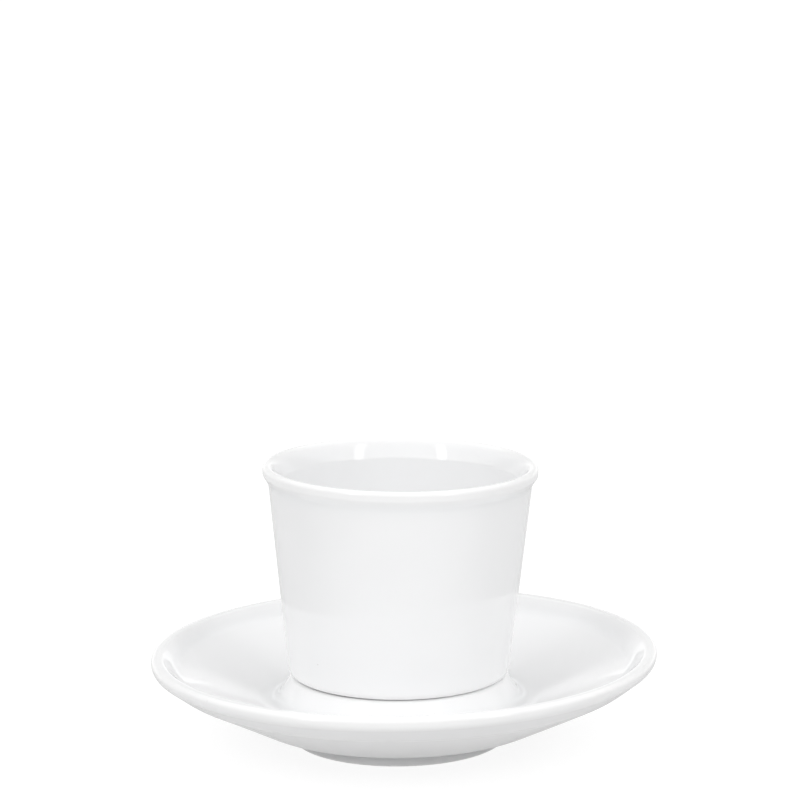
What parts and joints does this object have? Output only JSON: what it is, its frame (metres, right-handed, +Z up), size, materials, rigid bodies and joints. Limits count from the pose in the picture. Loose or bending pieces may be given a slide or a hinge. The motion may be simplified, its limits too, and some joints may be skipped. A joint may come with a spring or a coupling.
{
  "type": "espresso cup with saucer",
  "caption": "Handle-less tapered espresso cup with a flared round lip, standing on the raised seat of a wide round saucer with an upturned rim and a foot ring.",
  "frame": {"origin": "centre of the saucer's foot ring, in the plane it stands on", "axes": "+Z up along the common axis of cup and saucer; both are round, so X and Y are free, and the picture looks along +Y"},
  "size_m": [0.12, 0.12, 0.0663],
  "materials": {
    "saucer_glaze": "gloss",
    "cup_glaze": "gloss"
  },
  "bodies": {
    "saucer": {"saucer": "saucer_glaze"},
    "cup": {"cup": "cup_glaze"}
  },
  "joints": [
    {"name": "cup_lift", "type": "slide", "parent": "saucer", "child": "cup", "axis": [0, 0, 1], "range_m": [0, 0.08]}
  ]
}
